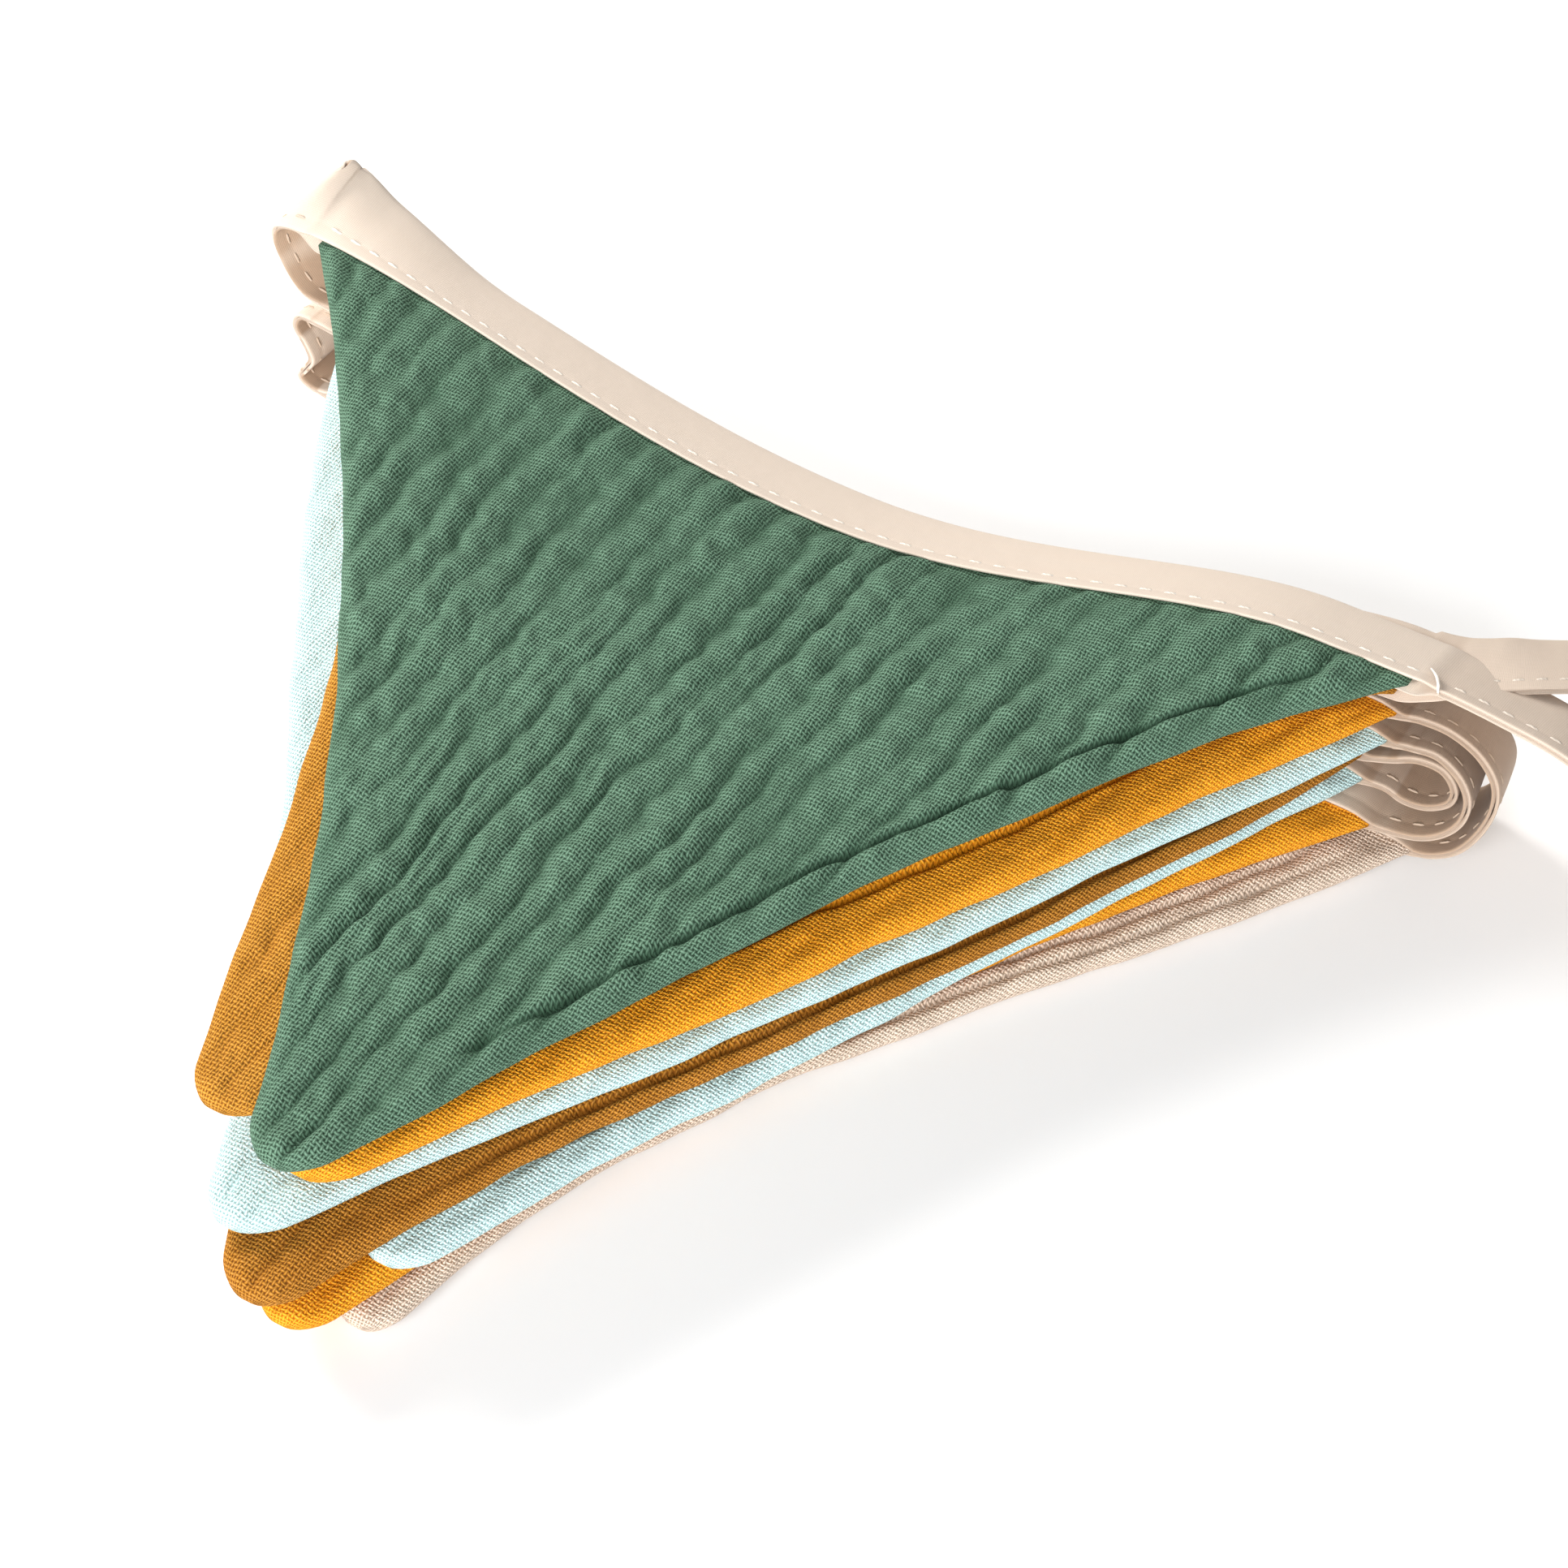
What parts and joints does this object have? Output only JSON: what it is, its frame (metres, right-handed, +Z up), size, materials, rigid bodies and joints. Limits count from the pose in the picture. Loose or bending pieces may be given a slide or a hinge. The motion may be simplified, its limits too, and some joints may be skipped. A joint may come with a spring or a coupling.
{
  "type": "fabric bunting",
  "caption": "Fabric bunting folded into a stack: crinkled gauze triangles bound along one long zigzagging tape, with two free tape ends.",
  "frame": {"origin": "on the surface the stack lies on, under the lowest flag, a third of a flag's depth from the tape", "axes": "+X along the tape towards its free ends, -Y towards the flags' tips, +Z up through the stack"},
  "size_m": [0.2375, 0.1819, 0.0299],
  "materials": {
    "green_gauze": "matt crinkled cotton double gauze, sage green",
    "caramel_gauze": "matt crinkled cotton double gauze, caramel",
    "yellow_gauze": "matt crinkled cotton double gauze, mustard yellow",
    "aqua_gauze": "matt crinkled cotton double gauze, pale aqua",
    "ochre_gauze": "matt crinkled cotton double gauze, brown ochre",
    "sand_gauze": "matt crinkled cotton double gauze, sand",
    "beige_tape": "smooth plain-woven cotton folded tape, beige, with one stitch line"
  },
  "bodies": {
    "root": {"flag_1_green": "green_gauze", "flag_2_caramel": "caramel_gauze", "flag_3_yellow": "yellow_gauze", "flag_4_aqua": "aqua_gauze", "flag_5_ochre": "ochre_gauze", "flag_6_aqua": "aqua_gauze", "flag_7_yellow": "yellow_gauze", "flag_8_sand": "sand_gauze", "tape": "beige_tape"}
  },
  "joints": []
}
